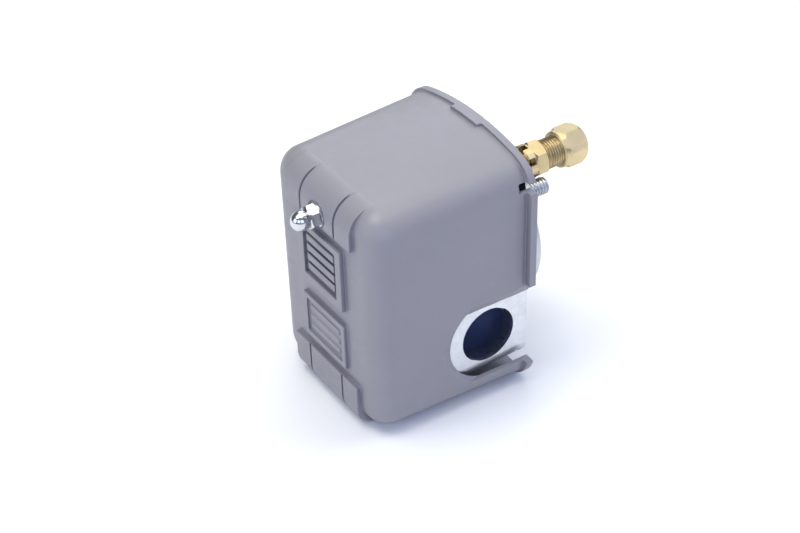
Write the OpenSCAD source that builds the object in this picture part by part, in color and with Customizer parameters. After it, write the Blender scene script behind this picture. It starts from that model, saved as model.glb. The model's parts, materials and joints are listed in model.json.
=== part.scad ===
// Air compressor pressure switch with a plastic cover, a stamped steel frame,
// a diaphragm and lever mechanism, a two-pole contact block and a brass release valve.
// X runs across the switch, +Y points out of the pressure port, +Z is up as it stands.
// Every module is drawn about the centre of the cover's open rim, then moved by place().

/* [Cover] */
// Width of the cover's wall at the open rim
cover_w = 70; // [68:0.5:72]
// Height of the cover's wall at the open rim
cover_h = 95.3; // [93:0.1:97]
// Depth from the open rim to the flat front
cover_d = 65; // [63:0.5:68]
// Thickness of the cover's wall
wall = 2; // [1.6:0.1:2]
// Radius of the front edges
edge_r = 9.1; // [8.5:0.1:9.5]
// Radius of the long corners
corner_r = 10.8; // [10:0.1:11.5]
// Narrowing of the front on each side
draft = 1.5; // [1:0.1:2]
// Rise of the arched top wall at the rim
crown = 3.85; // [3:0.05:4]
// How far the rim's lip stands out
lip_out = 2.5; // [2:0.1:2.7]
// Thickness of the rim's lip
lip_t = 2.8; // [2:0.1:3.2]

/* [Cover front] */
// Height of the raised bands over the front edges
pad_h = 1.8; // [1.4:0.1:2]
// Half width of the raised bands
pad_half = 20.8; // [19:0.1:21]
// Half width of the square panel
panel_half = 14.1; // [13:0.1:14.4]
// Number of plain ribs in the square panel
rib_count = 4; // [3:1:5]

/* [Conduit openings] */
// Radius of the conduit hole, for a trade size 1/2 hub
conduit_r = 11.25; // [11:0.05:11.4]
// Distance of the conduit axis in front of the rim
conduit_y = 16.7; // [16:0.1:17.5]
// Distance of the conduit axis below the centre
conduit_z = 20.7; // [20:0.1:21.5]

/* [Frame] */
// Width over the two conduit plates
frame_w = 63.4; // [62.8:0.1:63.8]
// Sheet thickness
sheet = 1.5; // [1.2:0.1:1.6]
// Outer radius of the bends under the conduit plates
bend_r = 8; // [7:0.1:8.5]

/* [Pressure port] */
// Radius of the flange's round body
flange_r = 26; // [25.5:0.1:26]
// How far the hub stands behind the rim
hub_reach = 20.5; // [19:0.1:21]
// Radius of the threaded port, 1/4 inch pipe thread
port_r = 5.7; // [5.5:0.05:5.8]

/* [Springs and lever] */
// Height of the cover stud above the centre
stud_z = 34.7; // [34.4:0.1:35]
// Turns of the range spring
range_turns = 8; // [6:1:9]
// Turns of the differential spring
diff_turns = 9; // [7:1:10]

/* [Release valve] */
// Sideways place of the valve's axis
valve_x = 20; // [19.8:0.1:20.2]
// Height of the valve's axis above the centre
valve_z = 38; // [37.8:0.1:38.2]
// How far the compression nut reaches behind the rim
valve_reach = 31.3; // [31:0.1:32]
// Size across the flats of the compression nut
nut_af = 13.4; // [12.7:0.1:14.3]
// Radius of the tube hole, for 1/4 inch tube
tube_r = 3.25; // [3.2:0.05:3.3]

/* [Hidden] */
$fn = 64;
eps = 0.01;

// Placing: origin under the middle of the whole part, on the plane it stands on
dome_r = 3.6;
cap_nut_len = 6.2 + dome_r;
front_y = -cover_d;
pad_y = front_y - pad_h;
tip_y = pad_y - cap_nut_len;
rim_y = -(tip_y + valve_reach) / 2;
foot = 0.25;
mid_z = cover_h / 2 + foot;
module place() { translate([0, rim_y, mid_z]) children(); }

// Cover
front_w = cover_w - 2 * draft;
front_h = cover_h - 2 * draft + 0.2;
arch_r = 110;
tab_half = 9.5;
tab_y = -4.7;
top_band_r = 10;
top_end_z = front_h / 2 - top_band_r;
low_band_r = 8.4;
low_end_z = mid_z - low_band_r;
top_pad_z = 30.6;
low_pad_z = -29.5;
groove_x = 10.85;
groove_w = 0.9;
groove_d = 0.75;
cover_hole_r = 2.6;
counterbore_r = 5.2;
counterbore_d = 0.9;

// Share of its pitch that each plain rib fills
rib_share = 0.7;

// Panels on the front: [half width, low z, high z, height]
square_panel = [panel_half, 0.8, 26.4, 1.9];
name_panel = [13.65, -25.3, -6.2, 1.5];

// Cut-outs of the cover round the conduit plates
cut_r = 17.1;
cut_top = 13.9;
cut_low = 16.4;
bevel_w = 2.6;
bevel_d = 1.8;
cut_lip_top = -2.3;
cut_lip_low = -37.5;
notch_y = 5.9;
notch_z = [37.7, 41.4];

// Frame: the base plate's back stands just behind the rim
base_back = 0.7;
base_front = base_back - sheet;
frame_x = frame_w / 2;
frame_low = -39.5;
frame_top = 43.5;
side_top = 2;
side_y = -37;
hole_flat = 11.05;
pin_y = -5;
pin_z = -13;
pin_r = 2;
ear_x = 18;
ground_xz = [-24.7, -30];

// Flange, diaphragm and piston
screw_xz = 21.5;
boss_r = 5.2;
boss_y = 2.4;
drum_y = 12.2;
gasket_y = 1.9;
piston_r = 8;
piston_hole = 8.08;
nose_r = 2.2;

// Lever: a plate with two side flanges
lever_under = -7.4;
lever_top = lever_under - 1.6;
lever_half = 16.3;
lever_end = 43;

// Studs
stud_r = 3.175;
cap_thread_r = 2.05;
diff_xz = [-15, 33];
diff_r = 2.4;
range_seat_y = -42;
diff_seat_y = -12.75;
diff_top_y = -32;

// Contact block
block_half = 19;
block_low = -38;
block_high = -20;
block_top = -22;
pole_x = 8.4;
term_x = 4.2;
contact_z = -23.5;
screw_z = -31.5;
carrier_y = -27;
carrier_z = -10;

// Release valve
thread_r = 5.55;
neck_r = 4.76;
nut_y0 = 20.8;
spigot_y = valve_reach - 7.6;
socket_y = valve_reach - 12.6;
stud_xz = [27, 31];

// Round bar along Y
module ybar(r, y0, y1, x = 0, z = 0) {
    translate([x, min(y0, y1), z])
        rotate([-90, 0, 0])
            cylinder(r = r, h = abs(y1 - y0));
}

// Hexagonal bar along Y, given across the flats, with a corner at angle turn from +X
module yhex(af, y0, y1, x = 0, z = 0, turn = 0) {
    translate([x, min(y0, y1), z])
        rotate([0, -turn, 0])
            rotate([-90, 0, 0])
                cylinder(d = af / cos(30), h = abs(y1 - y0), $fn = 6);
}

// Round bar along X
module xbar(r, x0, x1, y, z) {
    translate([x0, y, z])
        rotate([0, 90, 0])
            cylinder(r = r, h = x1 - x0);
}

// Block between two corners
module block(lo, hi) {
    translate(lo) cube(hi - lo);
}

// Flat shape in (Y, Z), extruded along X
module along_x(x0, x1) {
    translate([x0, 0, 0])
        rotate([90, 0, 90])
            linear_extrude(x1 - x0) children();
}

// Flat shape in (X, Z), extruded along Y
module along_y(y0, y1) {
    translate([0, y1, 0])
        rotate([90, 0, 0])
            linear_extrude(y1 - y0) children();
}

// Profile in (radius, Y), turned about an axis parallel to Y
module turned(x = 0, z = 0) {
    translate([x, 0, z])
        rotate([-90, 0, 0])
            rotate_extrude() children();
}

// Spring along Y from y0 towards y1, with closed ends
function coil_height(n, turns, len, wire) =
    n < 1 ? wire + n * 2.1 * wire :
    n > turns - 1 ? len - wire - (turns - n) * 2.1 * wire :
    3.1 * wire + (len - 6.2 * wire) * (n - 1) / (turns - 2);
module coil(r, wire, turns, y0, y1, x = 0, z = 0, steps = 18, sides = 8) {
    len = abs(y1 - y0);
    count = turns * steps;
    rings = [for (i = [0:count]) for (j = [0:sides - 1])
        let (a = 360 * i / steps, b = 360 * j / sides, q = r + wire * cos(b))
        [q * cos(a), coil_height(i / steps, turns, len, wire) + wire * sin(b), q * sin(a)]];
    quads = [for (i = [0:count - 1]) for (j = [0:sides - 1])
        let (k = (j + 1) % sides)
        [i * sides + j, (i + 1) * sides + j, (i + 1) * sides + k, i * sides + k]];
    first = [for (j = [0:sides - 1]) j];
    last = [for (j = [sides - 1:-1:0]) count * sides + j];
    translate([x, y0, z])
        scale([1, y1 > y0 ? 1 : -1, 1])
            polyhedron(points = rings, faces = concat([first], quads, [last]), convexity = 8);
}

// Outline of the cover in (X, Z) at the rim, grown by g at the sides, top_g on top and low_g below
module rim_outline(g, top_g, low_g) {
    half_w = cover_w / 2 - corner_r;
    half_h = cover_h / 2 - corner_r;
    apex = cover_h / 2 + crown + top_g;
    span = asin((half_w + 0.5) / arch_r);
    hull() {
        for (sx = [-1, 1])
            translate([sx * half_w, g - low_g - half_h]) circle(r = corner_r + g, $fn = 32);
        for (sx = [-1, 1])
            translate([sx * half_w, half_h]) circle(r = corner_r + (g + top_g) / 2, $fn = 32);
        for (sx = [-1, 1])
            translate([sx * half_w, half_h - 2]) circle(r = corner_r + g, $fn = 32);
        for (k = [-6:6])
            translate([arch_r * sin(span * k / 6), apex - arch_r * (1 - cos(span * k / 6)) - 1])
                square([eps, 2], center = true);
    }
}

// Body of the cover, shrunk inwards by s
module cover_form(s, y_end) {
    half_w = front_w / 2 - corner_r;
    half_h = front_h / 2 - corner_r;
    hull() {
        for (sx = [-1, 1]) for (sz = [-1, 1])
            translate([sx * half_w, front_y + edge_r, sz * half_h])
                rotate([90, 0, 0])
                    rotate_extrude($fn = 40)
                        intersection() {
                            translate([corner_r - edge_r, 0]) circle(r = edge_r - s, $fn = 40);
                            translate([0, -2 * edge_r]) square([4 * edge_r, 4 * edge_r]);
                        }
        along_y(y_end - eps, y_end) rim_outline(-s, -s, -s);
    }
}

// Raised band that runs up the front from z0 and over the edge in an arc about end_z
module edge_band(r, end_z, z0) {
    along_x(-pad_half, pad_half) {
        translate([pad_y + r, end_z]) circle(r = r);
        translate([pad_y, z0]) square([r, end_z - z0]);
    }
}

// Fine groove down a raised band, fading out along the arc
module band_groove(x, r, end_z, z0) {
    along_x(x - groove_w / 2, x + groove_w / 2)
        difference() {
            translate([pad_y - 1, z0 - 1]) square([r + 1, end_z + r + 2 - z0]);
            translate([pad_y + r, end_z + groove_d]) circle(r = r - groove_d);
            translate([pad_y + groove_d, z0 - 2]) square([2 * r, end_z + groove_d + 2 - z0]);
        }
}

// Raised rectangular panel on the front
module front_panel(p) {
    block([-p[0], front_y - p[3], p[1]], [p[0], front_y + 1, p[2]]);
}

// Outline of a cut-out in (Y, Z): arc towards the front, open towards the rim
module cut_outline(r, top) {
    translate([-conduit_y, -conduit_z]) {
        intersection() {
            circle(r = r, $fn = 96);
            translate([-2 * r, -cut_low]) square([4 * r, top + cut_low]);
        }
        translate([0, -cut_low]) square([conduit_y + 8, top + cut_low]);
    }
}

// Cut-out with a bevelled edge for the right side
module side_cut() {
    skin = cover_w / 2;
    along_x(skin - 12, skin + 6) cut_outline(cut_r, cut_top);
    translate([skin, 0, 0])
        rotate([0, 0, -atan(draft / (cover_d - edge_r))])
            hull() {
                along_x(-0.05, 0.2) cut_outline(cut_r + bevel_w, cut_top + 3.8);
                along_x(-bevel_d, -bevel_d + 0.1) cut_outline(cut_r, cut_top);
            }
}

module cover_lip() {
    difference() {
        along_y(tab_y, 0) rim_outline(lip_out, 0.9, foot);
        // in front of the lip only the tab on top is left
        block([-50, tab_y - 1, -60], [50, -lip_t, 40]);
        for (sx = [-1, 1])
            block([min(sx * tab_half, sx * 50), tab_y - 1, 30],
                  [max(sx * tab_half, sx * 50), -lip_t, 60]);
        for (sx = [-1, 1])
            block([min(sx * 34, sx * 50), -10, cut_lip_low],
                  [max(sx * 34, sx * 50), 1, cut_lip_top]);
    }
}

module front_details() {
    edge_band(top_band_r, top_end_z, top_pad_z);
    mirror([0, 0, 1]) edge_band(low_band_r, low_end_z, -low_pad_z);
    front_panel(square_panel);
    front_panel(name_panel);
}

module front_cuts() {
    // window of the square panel, with plain ribs left standing in it
    win = [square_panel[0] - 3.6, square_panel[1] + 3.4, square_panel[2] - 2.6];
    rib_pitch = (win[2] - win[1]) / (rib_count + rib_share);
    difference() {
        block([-win[0], front_y - 3, win[1]], [win[0], front_y - 0.2, win[2]]);
        for (i = [0:rib_count - 1])
            block([-win[0] + 1.6, front_y - 1.3, win[1] + (i + 0.5) * rib_pitch],
                  [win[0] - 1.6, front_y, win[1] + (i + 0.5 + rib_share) * rib_pitch]);
    }
    // window of the name panel, with three plain bars left standing in it
    difference() {
        block([-11.5, front_y - 3, name_panel[1] + 2.2], [11.5, front_y - 0.6, name_panel[2] - 2.2]);
        for (i = [0:2])
            block([-9.5, front_y - 1.1, name_panel[1] + 5 + 3.7 * i],
                  [9.5, front_y, name_panel[1] + 6.6 + 3.7 * i]);
    }
    for (sx = [-1, 1]) {
        band_groove(sx * groove_x, top_band_r, top_end_z, top_pad_z);
        mirror([0, 0, 1]) band_groove(sx * groove_x, low_band_r, low_end_z, -low_pad_z);
    }
    // seat and hole of the cap nut
    ybar(counterbore_r, pad_y - 2, pad_y + counterbore_d, 0, stud_z);
    ybar(cover_hole_r, pad_y - 2, front_y + 2 * wall + 2, 0, stud_z);
}

module cover() {
    color([0.58, 0.59, 0.64])
        place()
            difference() {
                union() {
                    cover_form(0, 0);
                    cover_lip();
                    front_details();
                }
                cover_form(wall, 0.5);
                front_cuts();
                side_cut();
                mirror([1, 0, 0]) side_cut();
                block([31, -notch_y, notch_z[0]], [40, 1, notch_z[1]]);
            }
}

module cover_washer() {
    color([0.8, 0.81, 0.83])
        place()
            difference() {
                ybar(4.3, pad_y + counterbore_d - 0.85, pad_y + counterbore_d, 0, stud_z);
                ybar(2.3, pad_y - 2, pad_y + 2, 0, stud_z);
            }
}

module cap_nut() {
    seat_y = pad_y + counterbore_d - 0.85;
    dome_y = pad_y - cap_nut_len + dome_r;
    color([0.86, 0.87, 0.9])
        place()
            difference() {
                union() {
                    intersection() {
                        yhex(7.94, seat_y - 4, seat_y, 0, stud_z, 42);
                        turned(0, stud_z)
                            polygon([[0, seat_y + 1], [4.1, seat_y], [4.6, seat_y - 0.5],
                                     [4.6, seat_y - 3.4], [4, seat_y - 4], [0, seat_y - 4]]);
                    }
                    ybar(dome_r, dome_y, seat_y - 3.5, 0, stud_z);
                    translate([0, dome_y, stud_z]) sphere(r = dome_r);
                }
                ybar(cap_thread_r + 0.05, dome_y - 0.6, seat_y + 1, 0, stud_z);
            }
}

// U-shaped wall outline in (X, Z), shrunk inwards by s
module tray_outline(s) {
    half = frame_x - bend_r;
    low = frame_low + bend_r;
    translate([-frame_x + s, low]) square([2 * (frame_x - s), side_top - low]);
    translate([-half, frame_low + s]) square([2 * half, bend_r]);
    for (sx = [-1, 1]) translate([sx * half, low]) circle(r = bend_r - s);
}

module base_outline() {
    half = frame_x - bend_r;
    translate([-frame_x, frame_low + bend_r])
        square([frame_w, frame_top - frame_low - 2 * bend_r]);
    translate([-half, frame_low]) square([2 * half, frame_top - frame_low]);
    for (sx = [-1, 1]) for (z = [frame_low + bend_r, frame_top - bend_r])
        translate([sx * half, z]) circle(r = bend_r);
}

module conduit_holes() {
    for (side = [0, 1])
        mirror([side, 0, 0])
            intersection() {
                xbar(conduit_r, frame_x - 4, frame_x + 1, -conduit_y, -conduit_z);
                translate([frame_x - 5, -conduit_y, -conduit_z])
                    rotate([60, 0, 0])
                        translate([0, -hole_flat, -20]) cube([8, 2 * hole_flat, 40]);
            }
}

module base_frame() {
    color([0.78, 0.8, 0.82])
        place()
            difference() {
                union() {
                    along_y(base_front, base_back) base_outline();
                    difference() {
                        along_y(side_y, base_back) tray_outline(0);
                        translate([0, -eps, 0]) along_y(side_y - 1, base_front + eps)
                            tray_outline(sheet);
                        block([-frame_x + sheet, side_y - 1, -frame_x], [frame_x - sheet, base_front, 20]);
                        for (sx = [-1, 1])
                            translate([sx * frame_x, side_y, side_top])
                                rotate([0, 90, 0]) cylinder(r = 6, h = 8, center = true);
                    }
                    for (sx = [-1, 1])
                        translate([sx > 0 ? ear_x : -ear_x - sheet, 0, 0]) hinge_ear();
                }
                conduit_holes();
                ybar(piston_hole, -2, 2);
                for (sx = [-1, 1]) for (sz = [-1, 1])
                    ybar(1.95, -2, 2, sx * screw_xz, sz * screw_xz);
                ybar(stud_r + 0.02, -2, 2, 0, stud_z);
                ybar(diff_r + 0.02, -2, 2, diff_xz[0], diff_xz[1]);
                ybar(neck_r + 0.1, -2, 2, valve_x, valve_z);
                ybar(stud_r + 0.02, -2, 2, stud_xz[0], stud_xz[1]);
                for (sx = [-1, 1]) ybar(2, -2, 2, sx * 10, -32);
                ybar(2.42, -2, 2, ground_xz[0], ground_xz[1]);
                for (sx = [-1, 1])
                    block([sx * 29.5 - 2.5, base_front - 2.1, frame_low + 0.8],
                          [sx * 29.5 + 2.5, base_front, frame_low + 4.2]);
            }
}

module hinge_ear() {
    difference() {
        union() {
            block([0, pin_y, pin_z - 4.5], [sheet, base_front + eps, pin_z + 4.5]);
            xbar(4.5, 0, sheet, pin_y, pin_z);
        }
        xbar(pin_r + 0.02, -1, sheet + 1, pin_y, pin_z);
    }
}

module ground_screw() {
    color([0.1, 0.5, 0.25])
        place()
            difference() {
                union() {
                    yhex(7.9, base_front - 3, base_front, ground_xz[0], ground_xz[1]);
                    ybar(4.9, base_front - 0.9, base_front, ground_xz[0], ground_xz[1]);
                    ybar(2.4, base_front - 1, base_back + 2, ground_xz[0], ground_xz[1]);
                }
                block([ground_xz[0] - 5, base_front - 4, ground_xz[1] - 0.5],
                      [ground_xz[0] + 5, base_front - 2, ground_xz[1] + 0.5]);
            }
}

module pressure_flange() {
    color([0.75, 0.77, 0.79])
        place()
            difference() {
                union() {
                    turned()
                        polygon([[0, base_back], [flange_r, base_back], [flange_r, drum_y - 1.2],
                                 [flange_r - 1.2, drum_y], [14, drum_y + 1.6], [0, drum_y + 1.6]]);
                    yhex(19, drum_y, hub_reach);
                    for (sx = [-1, 1]) for (sz = [-1, 1])
                        ybar(boss_r, base_back, boss_y, sx * screw_xz, sz * screw_xz);
                }
                ybar(23.9, base_back - 1, gasket_y);
                ybar(18, gasket_y - 1, gasket_y + 2.6);
                ybar(port_r, gasket_y, hub_reach + 1);
                for (sx = [-1, 1]) for (sz = [-1, 1])
                    ybar(2.1, 0, boss_y + 1, sx * screw_xz, sz * screw_xz);
            }
}

module diaphragm() {
    mid = (base_back + gasket_y) / 2;
    color([0.12, 0.12, 0.13])
        place()
            union() {
                ybar(23.8, base_back, gasket_y);
                turned() intersection() {
                    translate([13, mid + 0.5]) circle(r = 1.8);
                    translate([0, mid]) square([30, 5]);
                }
            }
}

module flange_screws() {
    color([0.82, 0.83, 0.85])
        place()
            for (sx = [-1, 1]) for (sz = [-1, 1])
                difference() {
                    union() {
                        ybar(3.5, boss_y, boss_y + 2, sx * screw_xz, sz * screw_xz);
                        ybar(1.9, base_front - 1.8, boss_y + 0.5, sx * screw_xz, sz * screw_xz);
                    }
                    block([sx * screw_xz - 4, boss_y + 1.1, sz * screw_xz - 0.5],
                          [sx * screw_xz + 4, boss_y + 3, sz * screw_xz + 0.5]);
                }
}

module diaphragm_piston() {
    color([0.7, 0.72, 0.74])
        place()
            union() {
                ybar(piston_r, -4.6, base_back);
                turned() polygon([[0, -4], [7, -4], [7, -4.6], [2.2, -5.6], [0, -5.6]]);
                ybar(nose_r, lever_under + nose_r + 0.1, -4);
                translate([0, lever_under + nose_r + 0.1, 0]) sphere(r = nose_r);
            }
}

module operating_lever() {
    color([0.76, 0.77, 0.8])
        place()
            difference() {
                union() {
                    along_y(lever_top, lever_under) {
                        translate([-lever_half, -16]) square([2 * lever_half, lever_end + 16]);
                        translate([-21.5, 26]) square([10, 14]);
                        translate([10, 33]) square([14.5, lever_end - 33]);
                    }
                    for (x = [-lever_half, lever_half - sheet])
                        block([x, lever_under - eps, -17], [x + sheet, -2.4, 10]);
                    ybar(2, lever_top - 1.5, lever_top + eps, 0, 1);
                }
                xbar(pin_r + 0.06, -30, 30, pin_y, pin_z);
                ybar(4.6, -20, 0, 0, stud_z);
                ybar(4, -20, 0, diff_xz[0], diff_xz[1]);
                for (x = [-lever_half - 1, lever_half - sheet - 1])
                    block([x, lever_top - 1, -20], [x + sheet + 2, lever_under, -17]);
            }
}

module lever_pin() {
    color([0.8, 0.8, 0.82])
        place()
            union() {
                xbar(pin_r, -ear_x - sheet - eps, ear_x + sheet + 2, pin_y, pin_z);
                xbar(3, -ear_x - sheet - 1.2, -ear_x - sheet, pin_y, pin_z);
            }
}

module lever_pin_clip() {
    x0 = ear_x + sheet + 0.1;
    color([0.35, 0.35, 0.37])
        place()
            difference() {
                xbar(3.6, x0, x0 + 0.8, pin_y, pin_z);
                xbar(pin_r, x0 - 1, x0 + 2, pin_y, pin_z);
                block([x0 - 1, pin_y - 5, pin_z - 1.2], [x0 + 2, pin_y, pin_z + 1.2]);
            }
}

module range_stud() {
    color([0.82, 0.82, 0.84])
        place()
            union() {
                ybar(4.6, base_back, base_back + 1.5, 0, stud_z);
                ybar(stud_r, -53, base_back + 1, 0, stud_z);
                ybar(cap_thread_r, pad_y - 5.6, -52, 0, stud_z);
            }
}

module range_stud_nut() {
    color([0.8, 0.81, 0.83])
        place()
            difference() {
                yhex(11.1, base_front - 3.6, base_front, 0, stud_z, 30);
                ybar(stud_r, -10, 2, 0, stud_z);
            }
}

module range_spring() {
    color([0.6, 0.61, 0.63])
        place() coil(6.2, 0.95, range_turns, lever_top, range_seat_y, 0, stud_z);
}

module range_spring_seat() {
    color([0.78, 0.79, 0.8])
        place()
            difference() {
                union() {
                    ybar(8, range_seat_y - 1.2, range_seat_y, 0, stud_z);
                    ybar(5, range_seat_y - 1, range_seat_y + 2, 0, stud_z);
                }
                ybar(stud_r + 0.2, range_seat_y - 3, range_seat_y + 3, 0, stud_z);
            }
}

module range_nut() {
    y0 = range_seat_y - 1.25;
    color([0.84, 0.84, 0.86])
        place()
            difference() {
                yhex(11.1, y0 - 5.6, y0, 0, stud_z, 15);
                ybar(stud_r + 0.05, y0 - 7, y0 + 1, 0, stud_z);
            }
}

module differential_stud() {
    color([0.82, 0.82, 0.84])
        place()
            union() {
                ybar(3.6, base_back, base_back + 1.3, diff_xz[0], diff_xz[1]);
                ybar(diff_r, -40, base_back + 1, diff_xz[0], diff_xz[1]);
                ybar(3, diff_seat_y, base_front, diff_xz[0], diff_xz[1]);
            }
}

module differential_washer() {
    color([0.74, 0.75, 0.77])
        place()
            difference() {
                ybar(5.2, diff_seat_y - 1, diff_seat_y, diff_xz[0], diff_xz[1]);
                ybar(diff_r + 0.1, diff_seat_y - 2, diff_seat_y + 1, diff_xz[0], diff_xz[1]);
            }
}

module differential_spring() {
    color([0.6, 0.61, 0.63])
        place()
            coil(3.9, 0.55, diff_turns, diff_seat_y - 1, diff_top_y, diff_xz[0], diff_xz[1]);
}

module differential_nut() {
    color([0.84, 0.84, 0.86])
        place()
            difference() {
                union() {
                    yhex(9.5, diff_top_y - 4.6, diff_top_y - 0.05, diff_xz[0], diff_xz[1]);
                    ybar(5.2, diff_top_y - 0.9, diff_top_y - 0.05, diff_xz[0], diff_xz[1]);
                }
                ybar(diff_r + 0.05, diff_top_y - 6, diff_top_y + 1, diff_xz[0], diff_xz[1]);
            }
}

module contact_block() {
    color([0.1, 0.13, 0.24])
        place()
            difference() {
                union() {
                    block([-block_half, block_top, block_low], [block_half, base_front, block_high]);
                    for (x = [-block_half, block_half - 2.2])
                        block([x, -31, block_low], [x + 2.2, block_top + 1, -6.5]);
                    for (k = [-1:1])
                        block([k * pole_x - 0.6, -29, block_low], [k * pole_x + 0.6, block_top + 1, -27]);
                }
                xbar(1.22, -30, 30, carrier_y, carrier_z);
                for (sx = [-1, 1]) ybar(1.95, -14, 0, sx * 10, -32);
                for (sx = [-1, 1]) for (k = [-1, 1])
                    ybar(1.8, block_top + 9, block_top - 2, sx * pole_x + k * term_x, screw_z);
            }
}

module block_screws() {
    color([0.82, 0.83, 0.85])
        place()
            for (sx = [-1, 1])
                difference() {
                    union() {
                        ybar(3.4, base_back, base_back + 2, sx * 10, -32);
                        ybar(1.9, -13, base_back + 1, sx * 10, -32);
                    }
                    block([sx * 10 - 4, base_back + 1.1, -32.4], [sx * 10 + 4, base_back + 3, -31.6]);
                }
}

// Children at each of the four terminals
module each_terminal() {
    for (sx = [-1, 1]) for (k = [-1, 1])
        translate([sx * pole_x + k * term_x, 0, 0]) children();
}

module terminal_plates() {
    color([0.83, 0.7, 0.42])
        place()
            each_terminal()
                difference() {
                    block([-3.3, block_top - 1.2, -37.4], [3.3, block_top, -20.6]);
                    ybar(1.8, block_top - 3, block_top + 1, 0, screw_z);
                }
}

module wire_clamps() {
    y0 = block_top - 1.2;
    color([0.8, 0.81, 0.83])
        place()
            each_terminal()
                difference() {
                    block([-3.1, y0 - 1.8, screw_z - 3.1], [3.1, y0, screw_z + 3.1]);
                    block([-1.9, y0 - 0.6, screw_z - 4], [1.9, y0 + 1, screw_z + 4]);
                    ybar(1.85, y0 - 3, y0 + 1, 0, screw_z);
                }
}

module terminal_screws() {
    y0 = block_top - 3;
    color([0.84, 0.84, 0.86])
        place()
            each_terminal()
                difference() {
                    union() {
                        ybar(2.9, y0 - 2.2, y0, 0, screw_z);
                        ybar(1.75, y0 - 1, block_top + 7, 0, screw_z);
                    }
                    block([-4, y0 - 3, screw_z - 0.45], [4, y0 - 1.2, screw_z + 0.45]);
                    block([-0.45, y0 - 3, screw_z - 2], [0.45, y0 - 1.2, screw_z + 2]);
                }
}

module fixed_contacts() {
    color([0.9, 0.9, 0.88])
        place()
            each_terminal() ybar(2, block_top - 2.4, block_top - 1.2, 0, contact_z);
}

module contact_carrier() {
    color([0.16, 0.15, 0.15])
        place()
            difference() {
                union() {
                    xbar(2.6, -15.8, 15.8, carrier_y, carrier_z);
                    block([-4, -28.6, carrier_z], [4, -25.4, 4]);
                    for (sx = [-1, 1]) translate([sx * pole_x, 0, 0]) {
                        block([-2.5, -33.5, carrier_z - 2.6], [2.5, carrier_y, carrier_z + 2.6]);
                        block([-2.5, -33.5, contact_z - 2.4], [2.5, -31, carrier_z]);
                        ybar(1.3, -32, -25.1, 0, contact_z);
                    }
                }
                xbar(1.26, -30, 30, carrier_y, carrier_z);
            }
}

module carrier_pin() {
    color([0.8, 0.8, 0.82])
        place() xbar(1.2, -block_half - 0.6, block_half + 0.6, carrier_y, carrier_z);
}

module contact_bridges() {
    y0 = block_top - 3.6;
    color([0.78, 0.5, 0.32])
        place()
            for (sx = [-1, 1]) translate([sx * pole_x, 0, 0])
                difference() {
                    block([-6.4, y0 - 1, contact_z - 2.2], [6.4, y0, contact_z + 2.2]);
                    ybar(1.5, y0 - 2, y0 + 1, 0, contact_z);
                }
}

module moving_contacts() {
    color([0.9, 0.9, 0.88])
        place()
            each_terminal() ybar(1.8, block_top - 3.6, block_top - 2.42, 0, contact_z);
}

module bridge_springs() {
    color([0.72, 0.73, 0.75])
        place()
            for (sx = [-1, 1])
                coil(1.9, 0.28, 5, block_top - 4.6, -31, sx * pole_x, contact_z, 14, 6);
}

module snap_spring() {
    color([0.6, 0.61, 0.63])
        place() coil(2.6, 0.4, 8, lever_top, -25.4, 0, 1, 14, 6);
}

module valve_bracket() {
    color([0.76, 0.78, 0.8])
        place()
            difference() {
                along_y(base_back, base_back + 1.6)
                    hull() {
                        translate([10, 29]) circle(r = 2, $fn = 24);
                        translate([10, 42]) circle(r = 2, $fn = 24);
                        translate([29, 29]) circle(r = 2, $fn = 24);
                        translate([26, 42]) circle(r = 2, $fn = 24);
                    }
                ybar(neck_r + 0.1, 0, 4, valve_x, valve_z);
                ybar(stud_r + 0.02, 0, 4, stud_xz[0], stud_xz[1]);
            }
}

module bracket_stud() {
    color([0.8, 0.83, 0.85])
        place() ybar(stud_r, base_front - 1.6, 11.2, stud_xz[0], stud_xz[1]);
}

module valve_body() {
    cavity_r = 3.4;
    color([0.8, 0.66, 0.36])
        place()
            difference() {
                union() {
                    ybar(neck_r, -4.6, 9, valve_x, valve_z);
                    ybar(6.35, 5.6, 9, valve_x, valve_z);
                    yhex(12.3, 8.6, 13.7, valve_x, valve_z, 41.6);
                    ybar(thread_r, 13, spigot_y, valve_x, valve_z);
                }
                // stem guide, valve chamber, passage and tube socket
                ybar(1.55, -5, 3, valve_x, valve_z);
                ybar(cavity_r, 1.6, 8.6, valve_x, valve_z);
                ybar(2.2, 8, 16, valve_x, valve_z);
                ybar(1.5, 15, 28, valve_x, valve_z);
                ybar(tube_r, socket_y, 28, valve_x, valve_z);
                turned(valve_x, valve_z)
                    polygon([[0, spigot_y - 1.4], [tube_r, spigot_y - 1.4], [4.7, spigot_y + 0.1],
                             [0, spigot_y + 0.1]]);
                // vents cut through the collar towards the bracket
                for (k = [0:5])
                    translate([valve_x, 0, valve_z])
                        rotate([0, 60 * k + 30, 0])
                            block([2.9, 4.4, -1.15], [9, 8, 1.15]);
            }
}

module valve_locknut() {
    color([0.8, 0.66, 0.36])
        place()
            difference() {
                yhex(12.7, base_front - 3, base_front, valve_x, valve_z);
                ybar(neck_r, -6, 2, valve_x, valve_z);
            }
}

module valve_plunger() {
    color([0.83, 0.7, 0.42])
        place()
            union() {
                ybar(1.5, lever_under + 0.05, 6.2, valve_x, valve_z);
                ybar(2.9, 6, 8.5, valve_x, valve_z);
            }
}

module valve_spring() {
    color([0.7, 0.71, 0.73])
        place() coil(1.7, 0.25, 6, 8.55, 14.95, valve_x, valve_z, 14, 6);
}

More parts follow.
